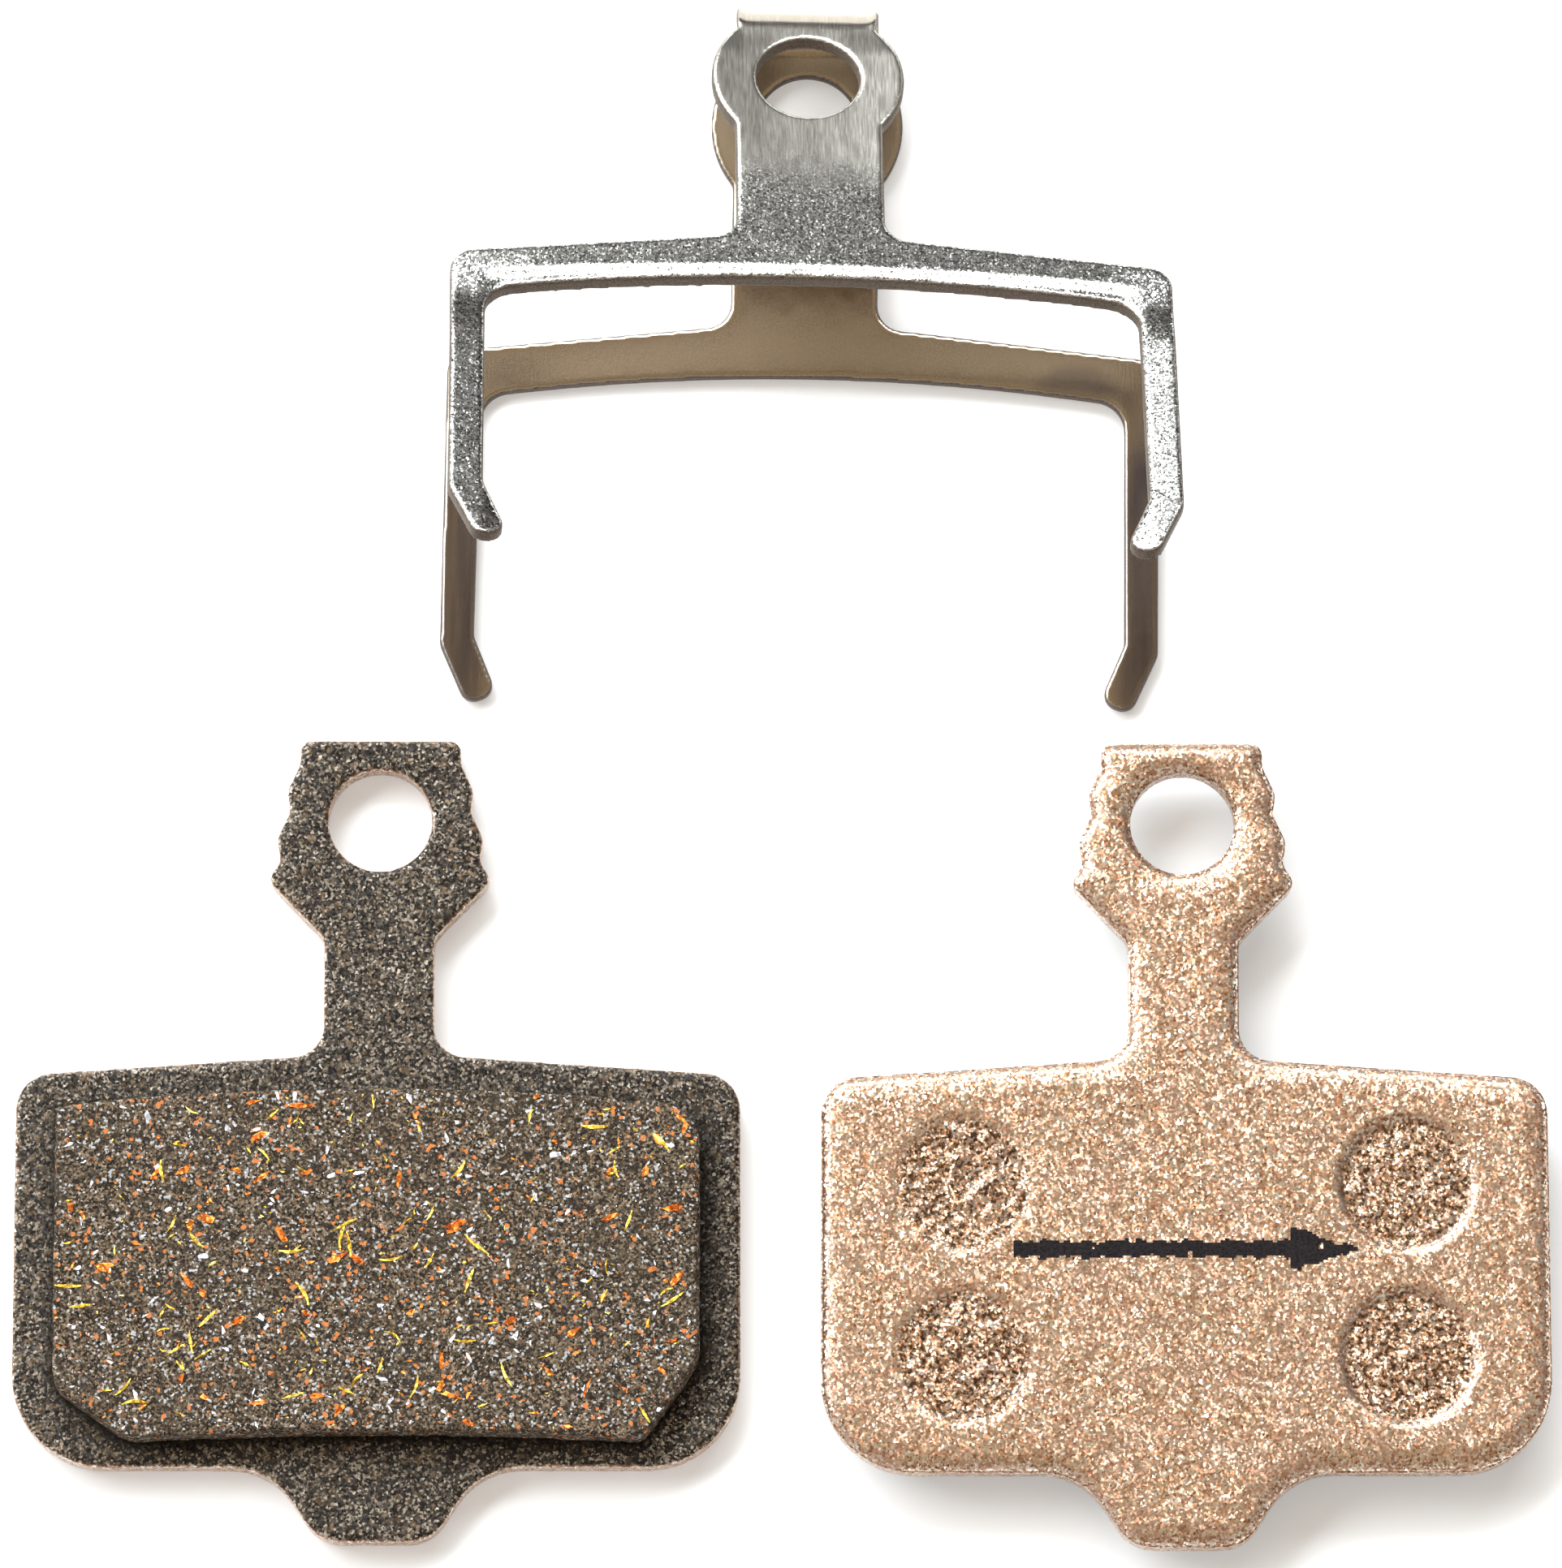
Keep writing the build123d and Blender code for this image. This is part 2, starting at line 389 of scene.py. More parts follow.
def plate_material():
    """Copper paint on the back and the walls, dark speckled steel on the friction side."""
    s = Shader("plate_coat")
    paint = s.attribute("paint")
    plug = s.attribute("plug")
    painted_shade = s.attribute("painted_shade")
    flakes = s.cells(0.12)
    coarse = s.cells(0.24)
    grain = s.cell_value(flakes)
    patches = s.noise(1.6, 4)
    fine = s.noise(0.10, 3)
    # painted shade: dark brown blotches standing in for the shade in the creases of the rough plug ends
    crease_shade = s.span(s.noise(0.24, 3), 0.40, 0.55, 1.0, 0.0)
    copper = s.ramp(s.blended(grain, 0.55, fine), [
        (0.25, (0.18, 0.070, 0.028)),
        (0.42, (0.46, 0.265, 0.16)),
        (0.57, (0.60, 0.45, 0.325)),
        (0.79, (0.93, 0.88, 0.78)),
    ])
    copper = s.mix(s.span(patches, 0.35, 0.75, 0.0, 0.35), copper, (0.50, 0.31, 0.24, 1))
    copper = s.mix(s.math("MULTIPLY", plug, crease_shade), copper, (0.10, 0.045, 0.018, 1))
    dark = s.ramp(s.blended(grain, 0.6, fine), [
        (0.30, (0.007, 0.005, 0.004)),
        (0.50, (0.030, 0.023, 0.017)),
        (0.65, (0.105, 0.086, 0.066)),
        (0.82, (0.42, 0.36, 0.29)),
    ])
    warm = s.cell_value(coarse)
    dark = s.mix(s.span(warm, 0.86, 0.96, 0.0, 0.25), dark, (0.30, 0.19, 0.10, 1))
    # painted shade: the bare steel goes near-black close round the block's foot, standing in for its shadow
    dark = s.mix(painted_shade, dark, (0.010, 0.008, 0.006, 1))
    s.set(Base_Color=s.mix(paint, dark, copper))
    s.set(Metallic=s.span(paint, 0.0, 1.0, 0.3, 1.0))
    s.set(Roughness=s.span(grain, 0.0, 1.0, 0.44, 0.28))
    s.set(Coat_Weight=s.math("MULTIPLY", paint, 0.4), Coat_Roughness=0.3, Specular_IOR_Level=0.2)
    tilted = s.flake_normal(flakes, s.span(plug, 0.0, 1.0, 0.42, 0.75))
    s.set(Normal=s.flake_normal(coarse, 0.10, tilted))
    return s.material


def friction_material():
    """Brown moulded composite: fine grain, with pale, orange and dark specks."""
    s = Shader("friction_matrix")
    grain = s.cell_value(s.cells(0.11))
    tone = s.blended(grain, 0.5, s.noise(0.09, 3))
    matrix = s.ramp(tone, [
        (0.30, (0.006, 0.004, 0.003)),
        (0.48, (0.048, 0.032, 0.018)),
        (0.62, (0.120, 0.083, 0.049)),
        (0.80, (0.30, 0.22, 0.145)),
    ])
    patches = s.noise(2.2, 4)
    matrix = s.mix(s.span(patches, 0.35, 0.75, 0.0, 0.4), matrix, (0.040, 0.029, 0.019, 1))
    pale = s.cell_value(s.cells(0.12))
    matrix = s.mix(s.span(pale, 0.92, 0.94), matrix, (0.36, 0.36, 0.36, 1))
    orange = s.cell_value(s.cells(0.19, shift=(0.31, 0.17, 0.05)))
    matrix = s.mix(s.span(orange, 0.965, 0.975), matrix, (0.50, 0.16, 0.04, 1))
    dark = s.cell_value(s.cells(0.26, shift=(0.11, 0.57, 0.25)))
    dark_share = s.math("MULTIPLY", s.span(dark, 0.90, 0.93), 0.75)
    matrix = s.mix(dark_share, matrix, (0.02, 0.014, 0.010, 1))
    s.set(Base_Color=matrix, Roughness=s.span(grain, 0, 1, 0.85, 0.55), Specular_IOR_Level=0.2)
    s.set(Normal=s.bump(tone, 0.05))
    return s.material


def fleck_material(kind):
    """Chips of metal or mineral ground flush with the friction face, scratched by the grinding."""
    s = Shader(kind["material"])
    stretched = s.vector("MULTIPLY", s.place, (0.4, 1.0, 1.0))
    scratches = s.noise(0.05, 2, stretched)
    tone = s.blended(s.cell_value(s.cells(0.5)), 0.5, scratches)
    s.set(Base_Color=s.ramp(tone, [(0.2, kind["dark"]), (0.7, kind["light"])]))
    s.set(Metallic=kind["metallic"], Roughness=kind["roughness"])
    s.set(Normal=s.flake_normal(s.cells(0.16), 0.5, s.bump(scratches, 0.02)))
    return s.material


def ink_material():
    """Matt black ink, printed on the rough coat."""
    s = Shader("printed_ink")
    tone = s.noise(0.16, 3)
    s.set(Base_Color=s.ramp(tone, [(0.35, (0.002, 0.001, 0.002)), (0.75, (0.018, 0.012, 0.012))]))
    s.set(Roughness=s.span(tone, 0.3, 0.7, 0.45, 0.7), Specular_IOR_Level=0.15)
    s.set(Normal=s.bump(s.noise(0.12, 2), 0.02))
    return s.material


def adhesive_material():
    """The dull brown line of glue that shows between the plate and the block."""
    s = Shader("cured_adhesive")
    tone = s.noise(0.2, 4)
    s.set(Base_Color=s.ramp(tone, [(0.3, (0.03, 0.024, 0.018)), (0.7, (0.10, 0.08, 0.06))]))
    s.set(Roughness=0.8)
    s.set(Normal=s.bump(tone, 0.05))
    return s.material


def steel_material():
    """Stamped spring steel: brushed rings, tumbled speckle elsewhere on the outer faces, a brown film with painted
    shade on the inner faces, a painted beige reflection on the fold's lip, and rough brown sheared walls."""
    s = Shader("spring_steel")
    wall = s.attribute("wall")
    brushed = s.attribute("brushed")
    sheet = s.attribute("sheet_place", "Vector")
    along = s.vector("MULTIPLY", sheet, (1.0, 0.09, 1.0))
    streaks = s.noise(0.10, 3, along)
    broad = s.noise(0.45, 2, along)
    flakes = s.cells(0.095)
    grain = s.cell_value(flakes)
    fine = s.noise(0.08, 3)
    tumbled = s.ramp(s.blended(grain, 0.6, fine), [
        (0.24, (0.14, 0.135, 0.12)),
        (0.50, (0.50, 0.49, 0.455)),
        (0.76, (0.96, 0.96, 0.93)),
    ])
    brush = s.ramp(s.blended(streaks, 0.65, broad), [
        (0.32, (0.42, 0.40, 0.34)),
        (0.50, (0.68, 0.655, 0.585)),
        (0.68, (0.90, 0.88, 0.81)),
    ])
    # brown film colour, kept dark as painted shade for the shaded inner faces; on the fold's lip it is a painted
    # beige reflection
    film_and_shade = s.mix(fine, (0.29, 0.235, 0.175, 1), (0.62, 0.54, 0.435, 1))
    face = s.mix(brushed, tumbled, brush)
    face = s.mix(s.attribute("film_and_shade"), face, film_and_shade)
    face = s.mix(s.attribute("stain"), face, (0.19, 0.17, 0.18, 1))
    sheared = s.ramp(fine, [(0.3, (0.045, 0.034, 0.024)), (0.7, (0.16, 0.12, 0.09))])
    s.set(Base_Color=s.mix(wall, face, sheared))
    s.set(Metallic=s.math("MULTIPLY_ADD", wall, -0.55, 1.0))
    s.set(Roughness=s.math("MULTIPLY_ADD", wall, 0.35, s.span(brushed, 0, 1, 0.16, 0.20)))
    tilt = s.span(s.attribute("tumbled"), 0, 1, 0.01, 0.17)
    s.set(Normal=s.flake_normal(flakes, tilt, s.bump(streaks, 0.0035)))
    return s.material


# =====================================================================================
# the pads
# =====================================================================================

def mount_place(name):
    """A mount's place in millimetres, and its axis."""
    mount = next(m for m in frame["record"]["mounts"] if m["name"] == name)
    return Vector(mount["pos_m"]) / MM, Vector(mount["axis"])


def pad_matrix(side):
    """Carries millimetres from a pad's own frame to the set's frame. The right pad lies turned over."""
    ear = mount_place(f"{side}_ear_bore")[0]
    if side == "left":
        return Matrix.Translation((ear.x, ear.y, 0))
    return Matrix.Translation((ear.x, ear.y, PAD_THICKNESS)) @ Matrix.Rotation(math.pi, 4, "Y")


def plug_places():
    return [(side * PLUG_X, row) for side in (-1, 1) for row in PLUG_ROWS]


def plate_relief(points, normals, seed):
    """How far the plate's skin stands out along its normals, with orange peel and rough plugs, and how
    much each point belongs to a plug's end."""
    relief = 0.012 * lattice_noise(points, 0.9, seed) + 0.007 * lattice_noise(points, 0.42, seed + 1)
    on_back = smoothstep(-normals[:, 2], 0.3, 0.8) * smoothstep(points[:, 2], 1.0, 0.5)
    plug = np.zeros(len(points))
    for number, (x, y) in enumerate(plug_places()):
        away = np.hypot(points[:, 0] - x, points[:, 1] - y)
        away = away + 0.10 * lattice_noise(points, 0.8, seed + 20 + number)
        inside = on_back * smoothstep(away, 3.25, 2.95)
        lumps = 0.05 * lattice_noise(points, 1.3, seed + 2) + 0.10 * lattice_noise(points, 0.42, seed + 3)
        lowered = 0.04 if x > 0 else 0.0
        relief += inside * (lumps - lowered)
        plug = np.maximum(plug, on_back * smoothstep(away, 3.45, 3.15))
    return relief, plug


def edge_roll(points, normals):
    """How far blanking has pulled the back face down towards the plate's outer edge."""
    walls = points[(np.abs(normals[:, 2]) < 0.3) & (points[:, 2] > 0.6)]
    from_plugs = np.min([np.hypot(walls[:, 0] - x, walls[:, 1] - y) for x, y in plug_places()], axis=0)
    outer = walls[from_plugs > FLUSH_PLUG[0]]
    tree = KDTree(len(outer))
    for number, (x, y, z) in enumerate(outer):
        tree.insert((x, y, 0), number)
    tree.balance()
    roll = np.zeros(len(points))
    for number in np.nonzero((normals[:, 2] < -0.3) & (points[:, 2] < 0.6))[0]:
        x, y, z = points[number]
        away = tree.find((x, y, 0))[2]
        roll[number] = EDGE_ROLL_DEPTH * max(0.0, 1 - away / EDGE_ROLL_WIDTH) ** EDGE_ROLL_POWER
    return roll


def painted_foot_shade(side, points, normals, to_own):
    """Painted shade on the friction side of the plate, close round the block's foot: a near-black band that stands
    in for the block's shadow and reaches further past its right edge.
    """
    block_points, block_faces = node_shell(f"{side}_friction_block", to_own)
    tree = BVHTree.FromPolygons([tuple(point) for point in block_points], block_faces)
    painted_shade = np.zeros(len(points))
    for number in np.nonzero((normals[:, 2] > 0.5) & (points[:, 2] > PLATE_THICKNESS - 0.4))[0]:
        away = tree.find_nearest(Vector(points[number]))[3]
        reach = SHADE_REACH * (0.45 + 0.55 * smoothstep(points[number][0], *BLOCK_EDGE_X))
        painted_shade[number] = 0.97 * math.exp(-(away / reach) ** 2)
    return painted_shade


def make_plate(side, material, seed):
    """The coated backing plate, one skin round the plate and the ends of its four plugs."""
    to_frame = pad_matrix(side)
    to_own = to_frame.inverted()
    shells = [node_shell(f"{side}_backing_plate", to_own)]
    for centre in plug_places():
        radius, end = FLUSH_PLUG if centre[0] > 0 else SUNK_PLUG
        shells.append(prism(circle_outline(centre, radius), end, PLATE_THICKNESS - PLUG_COVER))
    mesh = skin(f"{side}_plate_coated", shells, PLATE_VOXEL)
    points, normals = read_points(mesh), read_normals(mesh)
    relief, plug = plate_relief(points, normals, seed)
    add_attribute(mesh, "plug", plug)
    # painted shade round the block's foot, for the material to read
    add_attribute(mesh, "painted_shade", painted_foot_shade(side, points, normals, to_own))
    roll = edge_roll(points, normals)
    points = points + normals * relief[:, None]
    points[:, 2] += roll
    overspray = 0.12 * lattice_noise(points, 0.35, seed + 9)
    paint = 1 - smoothstep(normals[:, 2] + overspray, 0.45, 0.85)
    add_attribute(mesh, "paint", paint)
    piece = place_piece(mesh.name, mesh, points, to_frame, material)
    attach(piece, f"{side}_pad")
    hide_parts(f"{side}_backing_plate")
    return piece


def block_relief(points, normals, seed):
    """Pits and worn, chipped edges on the friction block."""
    on_face = smoothstep(normals[:, 2], 0.5, 0.9)
    relief = 0.010 * lattice_noise(points, 0.35, seed) + 0.012 * lattice_noise(points, 1.4, seed + 1)
    relief -= FACE_SINK * on_face
    pits = smoothstep(lattice_noise(points, 0.42, seed + 2), 0.62, 0.86)
    relief -= 0.07 * pits * on_face
    cracks = smoothstep(np.abs(lattice_noise(points, 1.5, seed + 3)), 0.035, 0.0)
    cracks *= smoothstep(lattice_noise(points, 1.1, seed + 4), 0.25, 0.55)
    relief -= 0.06 * cracks * on_face
    near_top = smoothstep(points[:, 2], PAD_THICKNESS - 0.7, PAD_THICKNESS - 0.15)
    chips = smoothstep(lattice_noise(points, 0.8, seed + 5), 0.25, 0.7)
    relief -= 0.13 * chips * near_top * (1 - on_face)
    relief += (1 - on_face) * 0.045 * lattice_noise(points, 0.5, seed + 6)
    from_nick = (points[:, :2] - NICK_PLACE) / NICK_SIZE
    relief -= NICK_DEPTH * np.exp(-np.sum(from_nick ** 2, axis=1)) * near_top
    return relief


def make_block(side, material, seed):
    """The moulded friction block. Gives a search tree over its skin, for what is set in its face."""
    to_frame = pad_matrix(side)
    shell = node_shell(f"{side}_friction_block", to_frame.inverted())
    mesh = skin(f"{side}_block_moulded", [shell], BLOCK_VOXEL)
    points, normals = read_points(mesh), read_normals(mesh)
    points = points + normals * block_relief(points, normals, seed)[:, None]
    points[:, 2] = np.maximum(points[:, 2], PLUG_STUB)
    piece = place_piece(mesh.name, mesh, points, to_frame, material)
    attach(piece, f"{side}_pad")
    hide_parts(f"{side}_friction_block")
    return mesh_tree(mesh, points)


def chip_outline(draw, length, width, corners):
    """A rough many-sided chip, longer than wide."""
    turns = np.sort(draw.uniform(0, math.tau, corners))
    reach = draw.uniform(0.65, 1.0, corners)
    return np.stack([length / 2 * reach * np.cos(turns), width / 2 * reach * np.sin(turns)], axis=1)


def curl_outline(draw, length, width, bend):
    """A thin shaving that follows an arc."""
    count = 7
    stations = np.linspace(-0.5, 0.5, count)
    middle = np.stack([length * stations, bend * length * (stations ** 2 - 0.12)], axis=1)
    half = width / 2 * (1.05 - 1.5 * np.abs(stations)) * draw.uniform(0.75, 1.2, count)
    to_side = np.stack([np.zeros(count), half], axis=1)
    return np.concatenate([middle - to_side, (middle + to_side)[::-1]])


def fleck_outline(draw, kind):
    """One chip's or shaving's outline, somewhere on the friction face."""
    centre = np.array([draw.uniform(*FLECK_X), draw.uniform(*FLECK_Y)])
    shortest, longest = kind["length"]
    length = shortest + (longest - shortest) * draw.random() ** kind["rarity"]
    width = length * draw.uniform(*kind["slimness"]) + kind["least_width"]
    angle = draw.normal(*kind["lie"])
    if kind["curled"]:
        outline = curl_outline(draw, length, width, draw.normal(0, 0.28))
    else:
        outline = chip_outline(draw, length, width, int(draw.integers(6, 10)))
    turn = np.array([[math.cos(angle), -math.sin(angle)], [math.sin(angle), math.cos(angle)]])
    return outline @ turn.T + centre


def face_heights(surface, outline):
    """The friction face's heights under the outline's corners that lie on it."""
    heights = []
    for x, y in outline:
        hit, normal = surface.ray_cast(Vector((x, y, 10)), Vector((0, 0, -1)))[:2]
        if hit is not None and normal.z > 0.8 and hit.z > PAD_THICKNESS - 0.25:
            heights.append(hit.z)
    return heights


def make_flecks(side, kind, material, surface, seed):
    """Chips or shavings set in the friction face, each a closed slab that stands just proud of it."""
    draw = np.random.default_rng(seed)
    shells = []
    while len(shells) < kind["count"]:
        outline = fleck_outline(draw, kind)
        heights = face_heights(surface, outline)
        if len(heights) == len(outline):
            top = float(np.mean(heights)) + kind["proud"]
            shells.append(prism(outline, top - kind["thickness"], top))
    points, faces = joined(shells)
    mesh = make_mesh(f"{side}_{kind['name']}", points, faces)
    piece = place_piece(mesh.name, mesh, points, pad_matrix(side), material, smooth=False)
    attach(piece, f"{side}_pad")


def arrow_cells(seed):
    """The printed arrow as a grid: its lines in x and y, and which of its cells hold ink."""
    columns = int(MARK_LENGTH / MARK_CELL)
    rows = int(MARK_HEAD_HEIGHT / MARK_CELL)
    xs = (np.arange(columns + 1) - columns / 2) * MARK_CELL
    ys = (np.arange(rows + 1) - rows / 2) * MARK_CELL
    middle_x, middle_y = np.meshgrid((xs[:-1] + xs[1:]) / 2, (ys[:-1] + ys[1:]) / 2, indexing="ij")
    flat = np.stack([middle_x.ravel(), middle_y.ravel(), np.zeros(middle_x.size)], axis=1)
    ragged = MARK_RAGGEDNESS * lattice_noise(flat, 0.3, seed).reshape(middle_x.shape)
    worn = lattice_noise(flat, 0.33, seed + 1).reshape(middle_x.shape)
    # The pad lies turned over, so the arrow that points to +X in the set's frame points to -X here.
    from_tip = middle_x + MARK_LENGTH / 2
    reach = np.abs(middle_y) + ragged
    head = (from_tip < MARK_HEAD_LENGTH) & (reach < MARK_HEAD_HEIGHT / 2 * from_tip / MARK_HEAD_LENGTH)
    bar = (from_tip >= MARK_HEAD_LENGTH) & (reach < MARK_BAR_HEIGHT / 2)
    return xs, ys, (head | bar) & (worn < MARK_WORN_FROM)


def make_mark(material, plate, seed):
    """A thin printed arrow on the right pad's back, ragged at its edges and worn through in places."""
    to_frame = pad_matrix("right")
    coat = mesh_tree(plate.data, moved(read_points(plate.data) / MM, to_frame.inverted()))
    xs, ys, inked = arrow_cells(seed)
    points, faces, numbers = [], [], {}

    def corner(i, j, lifted):
        key = (i, j, lifted)
        if key not in numbers:
            x, y = xs[i], ys[j] + MARK_CENTRE_Y
            surface = coat.ray_cast(Vector((x, y, -5)), Vector((0, 0, 1)))[0]
            numbers[key] = len(points)
            points.append((x, y, surface.z - (MARK_LIFT if lifted else -MARK_LIFT)))
        return numbers[key]

    for i, j in zip(*np.nonzero(inked)):
        square = [(i, j), (i + 1, j), (i + 1, j + 1), (i, j + 1)]
        faces.append([corner(a, b, True) for a, b in reversed(square)])
        faces.append([corner(a, b, False) for a, b in square])
        edges = zip(square, square[1:] + square[:1], ((0, -1), (1, 0), (0, 1), (-1, 0)))
        for a, b, (step_i, step_j) in edges:
            next_i, next_j = i + step_i, j + step_j
            in_grid = 0 <= next_i < inked.shape[0] and 0 <= next_j < inked.shape[1]
            if not (in_grid and inked[next_i, next_j]):
                faces.append([corner(*a, True), corner(*b, True), corner(*b, False), corner(*a, False)])
    points = np.array(points)
    mesh = make_mesh("right_direction_arrow", points, faces)
    piece = place_piece(mesh.name, mesh, points, to_frame, material, smooth=False)
    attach(piece, "right_pad")


# =====================================================================================
# the spring
# =====================================================================================

def area_centre(points, faces):
    """The centre of a mesh's surface, which on a symmetric leaf lies on its middle line."""
    total, weight = np.zeros(3), 0.0
    for face in faces:
        for second, third in zip(face[1:-1], face[2:]):
            a, b, c = points[face[0]], points[second], points[third]
            area = np.linalg.norm(np.cross(b - a, c - a)) / 2
            total += area * (a + b + c) / 3
            weight += area
    return total / weight


class Leaf:
    """A leaf's own directions: across, down towards its hooks, and out through its outer face."""

    def __init__(self, node, ring_mount):
        self.points, self.faces = node_shell(node, Matrix.Identity(4))
        place, axis = mount_place(ring_mount)
        self.out = np.array(axis.normalized())
        shift = np.array(place)
        towards = area_centre(self.points, self.faces) - shift
        middle = float(np.dot(towards, self.out))
        self.ring = shift + middle * self.out
        down = towards - middle * self.out
        self.down = down / np.linalg.norm(down)
        self.across = np.cross(self.down, self.out)


def fold_joint():
    """The flex joint's place in millimetres, on the fold's axis, and its direction."""
    joint = next(j for j in frame["joints"] if j["name"] == "spring_flex")
    return np.array(joint["pos_m"]) / MM, np.array(joint["axis"])


def fold_rows(lower, upper):
    """Rows of points across the bend, swept from one leaf's end to the other's and twisting as they go.
    Each step has a row on the outside of the bend and then one on the inside."""
    centre, axis = fold_joint()
    start = lower.ring - lower.down * FOLD_START
    end = upper.ring - upper.down * FOLD_START
    back, up = -lower.down, -lower.out
    radius = np.linalg.norm(start - centre)
    sweep = math.pi - math.acos(float(np.clip(np.dot(lower.down, upper.down), -1, 1)))
    last = centre + radius * (math.sin(sweep) * back - math.cos(sweep) * up)
    end_across = upper.across if np.dot(upper.across, axis) > 0 else -upper.across
    overlap = FOLD_OVERLAP / (radius * sweep)
    widths = np.linspace(-1, 1, FOLD_COLUMNS)
    rows = []
    for share in np.linspace(-overlap, 1 + overlap, FOLD_STEPS):
        angle = sweep * share
        blend = float(smoothstep(np.array(share), 0.0, 1.0))
        outward = math.sin(angle) * back - math.cos(angle) * up
        spine = centre + radius * outward + blend * (end - last)
        side = axis * (1 - blend) + end_across * blend
        side = side / np.linalg.norm(side)
        outward = outward - np.dot(outward, side) * side
        outward = outward / np.linalg.norm(outward)
        mid_bend = math.sin(math.pi * min(max(share, 0), 1))
        curl = FOLD_FLARE * mid_bend ** 0.7 * smoothstep(np.abs(widths), 0.84, 1.0)
        reach = widths * FOLD_HALF_WIDTH * (1 + FOLD_WIDENING * mid_bend)
        for face in (1, -1):
            row = spine + np.outer(reach, side)
            rows.append(row + np.outer(curl + face * SHEET / 2, outward))
    return rows


def fold_shell(lower, upper):
    """The bend as a closed shell, which runs a little way into both leaves."""
    faces = []
    count, stride = FOLD_COLUMNS, 2 * FOLD_COLUMNS
    for step in range(FOLD_STEPS - 1):
        outer = step * stride
        inner = outer + count
        for i in range(count - 1):
            faces.append([outer + i, outer + i + 1, outer + stride + i + 1, outer + stride + i])
            faces.append([inner + i + 1, inner + i, inner + stride + i, inner + stride + i + 1])
        for i in (0, count - 1):
            faces.append([outer + i, inner + i, inner + stride + i, outer + stride + i])
    for step in (0, FOLD_STEPS - 1):
        outer = step * stride
        inner = outer + count
        for i in range(count - 1):
            faces.append([outer + i, outer + i + 1, inner + i + 1, inner + i])
    return np.concatenate(fold_rows(lower, upper)), faces


def leaf_coordinates(points, leaf):
    """How far points lie across and down a leaf from its ring's centre."""
    away = points - leaf.ring
    return away @ leaf.across, away @ leaf.down


def upper_bow(x, s):
    """How far the raised leaf departs from flat, outwards, at x across it and s down it: the crossbar's
    turned-down front edge, the twisted arms, the dropped corners and the dished neck."""
    crossbar_front = 13.35 + 0.0030 * x * x
    bow = -0.13 * smoothstep(s, crossbar_front - 0.75, crossbar_front) * smoothstep(np.abs(x), 17.0, 15.6)
    on_arm = smoothstep(s, 14.5, 17.5) * smoothstep(np.abs(x), 15.4, 16.4)
    bow += np.where(x > 0, 0.12, -0.05) * on_arm * (x - 17.5 * np.sign(x))
    corner = smoothstep(np.abs(x), 13.0, 17.5) * smoothstep(s, 11.5, 15.5) * (1 - on_arm)
    bow -= 0.16 * corner
    dish = smoothstep(s, 8.0, 4.0) * smoothstep(s, -3.4, -1.5)
    bow += 0.006 * dish * x * x
    return bow


def sheet_looks(points, normals, x, s, is_upper, in_fold, lower, upper):
    """What the steel's material reads at each point, by name. x is across a leaf and s down it."""
    outwards = np.where(is_upper, normals @ upper.out, normals @ lower.out)
    flatness = np.abs(outwards)
    sideways = np.abs(normals @ lower.across)
    wall = np.where(in_fold, smoothstep(sideways, 0.5, 0.9), 1 - smoothstep(flatness, 0.78, 0.965))
    brushed = smoothstep(s + 0.9 * lattice_noise(points, 0.5, SPRING_SEED + 1), 9.0, 4.2)
    arms = smoothstep(np.abs(x), 15.8, 16.9) * smoothstep(s, 15.0, 18.5)
    patch = smoothstep(np.hypot((x - 14.0) / 2.6, (s - 13.9) / 1.6), 1.0, 0.55)
    stretched = np.stack([x / 0.25, s / 3.0, 0 * x], axis=1)
    streak = 0.8 + 0.2 * lattice_noise(stretched, 1.0, SPRING_SEED + 2)
    # In the fold, whose axis runs nearly along X, a face is an outer one when it looks away from the axis.
    round_fold = points - fold_joint()[0]
    round_fold[:, 0] = 0.0
    round_fold /= np.linalg.norm(round_fold, axis=1)[:, None]
    outwards = np.where(in_fold, np.sum(normals * round_fold, axis=1), outwards)
    inner = smoothstep(outwards, 0.2, -0.2)
    return {
        "wall": wall,
        "brushed": brushed,
        "stain": inner * np.maximum(0.95 * arms * streak, 0.35 * patch),
        # brown film with painted shade on the inner faces, and a painted beige reflection over the fold's lip
        "film_and_shade": np.maximum(inner, 0.75 * smoothstep(s, -FOLD_START, -FOLD_START - 0.5)),
        "tumbled": (1 - brushed) * (1 - inner),
        "sheet_place": np.stack([x, s, 3.0 * is_upper], axis=1) * MM,
    }


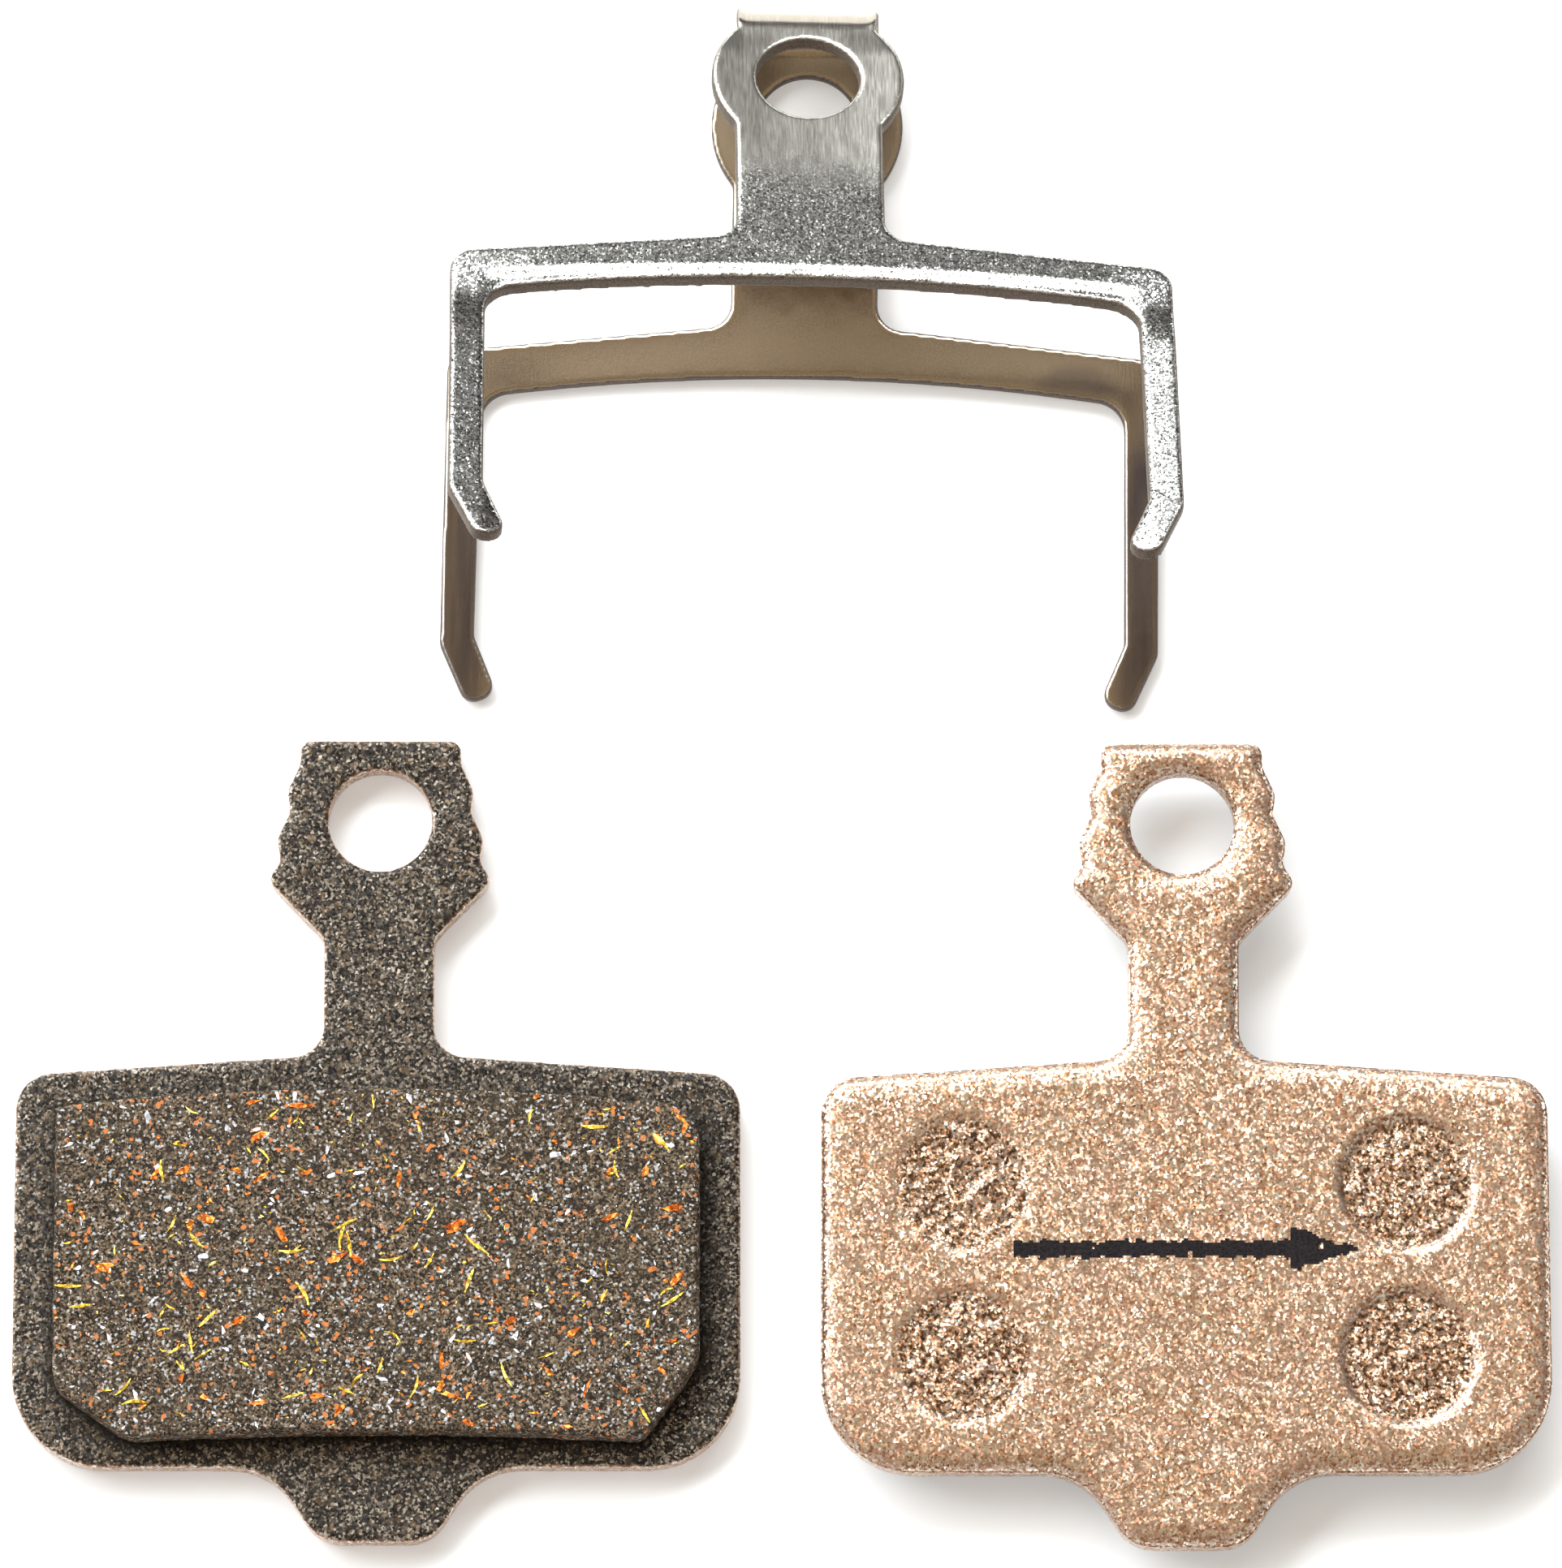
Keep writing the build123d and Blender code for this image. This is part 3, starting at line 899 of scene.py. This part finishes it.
def make_spring(material):
    """One sheet round the two leaves and the fold between them."""
    lower = Leaf("spring_lower_leaf", "lower_ring_bore")
    upper = Leaf("spring_upper_leaf", "upper_ring_bore")
    shells = [(lower.points, lower.faces), (upper.points, upper.faces), fold_shell(lower, upper)]
    mesh = skin("spring_sheet", shells, SPRING_VOXEL)
    points, normals = read_points(mesh), read_normals(mesh)
    centre = fold_joint()[0]
    low_x, low_s = leaf_coordinates(points, lower)
    up_x, up_s = leaf_coordinates(points, upper)
    is_upper = points[:, 2] > centre[2] + LEAF_PARTING_SLOPE * (points[:, 1] - centre[1])
    x = np.where(is_upper, up_x * np.sign(np.dot(upper.across, lower.across)), low_x)
    s = np.where(is_upper, up_s, low_s)
    in_fold = s < -FOLD_START
    bow = np.where(is_upper & ~in_fold, upper_bow(x, s), 0.0)
    points = points + bow[:, None] * upper.out
    points = points + normals * (0.004 * lattice_noise(points, 0.8, SPRING_SEED))[:, None]
    for name, values in sheet_looks(points, normals, x, s, is_upper, in_fold, lower, upper).items():
        add_attribute(mesh, name, values)
    piece = place_piece(mesh.name, mesh, points, Matrix.Identity(4), material)
    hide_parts("spring_lower_leaf", "spring_fold", "spring_upper_leaf")
    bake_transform(piece)


# =====================================================================================
# stage: camera, floor, lights
# =====================================================================================

def add_camera():
    """The main view, almost straight down."""
    camera = bpy.data.objects.new("camera", bpy.data.cameras.new("camera"))
    bpy.context.scene.collection.objects.link(camera)
    camera.data.sensor_fit = "HORIZONTAL"
    camera.data.sensor_width = SENSOR
    camera.data.lens = SENSOR * VIEW_DISTANCE / FRAME_WIDTH
    camera.data.clip_start, camera.data.clip_end = CLIP_RANGE
    towards = Vector((0, -math.sin(VIEW_TILT), math.cos(VIEW_TILT)))
    camera.location = Vector(VIEW_AIM) + VIEW_DISTANCE * towards
    camera.rotation_euler = (VIEW_TILT, 0, 0)
    bpy.context.scene.camera = camera


def add_softbox(name, azimuth, elevation, size, power):
    """A soft light aimed at the set. Azimuth is from +Y towards +X, in degrees."""
    around, height = math.radians(azimuth), math.radians(elevation)
    level = math.cos(height)
    towards = Vector((math.sin(around) * level, math.cos(around) * level, math.sin(height)))
    lamp = bpy.data.lights.new(name, "AREA")
    lamp.shape = "RECTANGLE"
    lamp.size, lamp.size_y = size
    lamp.energy = power
    lamp.color = COOL_WHITE
    holder = bpy.data.objects.new(name, lamp)
    bpy.context.scene.collection.objects.link(holder)
    holder.location = towards * LIGHT_DISTANCE
    holder.rotation_euler = (-towards).to_track_quat("-Z", "Y").to_euler()


def add_world():
    """Soft light from all round: bright to the left, dark low at the back, brown overhead."""
    world = bpy.data.worlds.new("studio")
    bpy.context.scene.world = world
    world.use_nodes = True
    graph = NodeGraph(world.node_tree)
    place = graph.node("ShaderNodeTexCoord").outputs["Generated"]
    x, y, z = graph.node("ShaderNodeSeparateXYZ", {0: place}).outputs
    sideways = graph.mix(graph.span(x, -0.7, 0.35), (1.3, 1.3, 1.3, 1), (0.16, 0.14, 0.13, 1))
    back = graph.mix(graph.span(z, 0.16, 0.46), (0.04, 0.036, 0.032, 1), sideways)
    around = graph.mix(graph.span(y, -0.6, 0.7), (0.72, 0.67, 0.63, 1), back)
    whole = graph.mix(graph.span(z, 0.70, 0.90), around, (0.46, 0.355, 0.23, 1))
    graph.put(world.node_tree.nodes["Background"].inputs["Color"], whole)


def add_floor():
    """A plain pale floor that the set lies on."""
    s = Shader("pale_floor")
    s.set(Base_Color=(0.72, 0.72, 0.72, 1), Roughness=0.8, Specular_IOR_Level=0.1)
    s.set(Emission_Color=(1.0, 1.0, 1.0, 1), Emission_Strength=0.28)
    half = FLOOR_HALF_WIDTH
    corners = [(-half, -half, 0), (half, -half, 0), (half, half, 0), (-half, half, 0)]
    floor = bpy.data.objects.new("floor", make_mesh("floor", corners, [[0, 1, 2, 3]]))
    bpy.context.scene.collection.objects.link(floor)
    floor.data.materials.append(s.material)


def light_stage():
    add_softbox("key", azimuth=-42, elevation=40, size=(1.95, 1.09), power=54.0)
    add_softbox("back", azimuth=8, elevation=45, size=(1.20, 0.50), power=14.0)
    add_world()
    bpy.context.scene.view_settings.view_transform = "Standard"


def main():
    add_camera()
    add_floor()
    light_stage()
    plate_coat = plate_material()
    friction = friction_material()
    fleck_materials = {kind["name"]: fleck_material(kind) for kind in FLECK_KINDS}
    adhesive = adhesive_material()
    for number, side in enumerate(("left", "right")):
        seed_step = SIDE_SEED_STEP * number
        plate = make_plate(side, plate_coat, PLATE_SEED + seed_step)
        surface = make_block(side, friction, BLOCK_SEED + seed_step)
        for kind in FLECK_KINDS:
            make_flecks(side, kind, fleck_materials[kind["name"]], surface, FLECK_SEED + seed_step)
        bond = frame["nodes"][f"{side}_bond_layer"]
        bond.data.materials.clear()
        bond.data.materials.append(adhesive)
    make_mark(ink_material(), plate, MARK_SEED)
    make_spring(steel_material())


main()
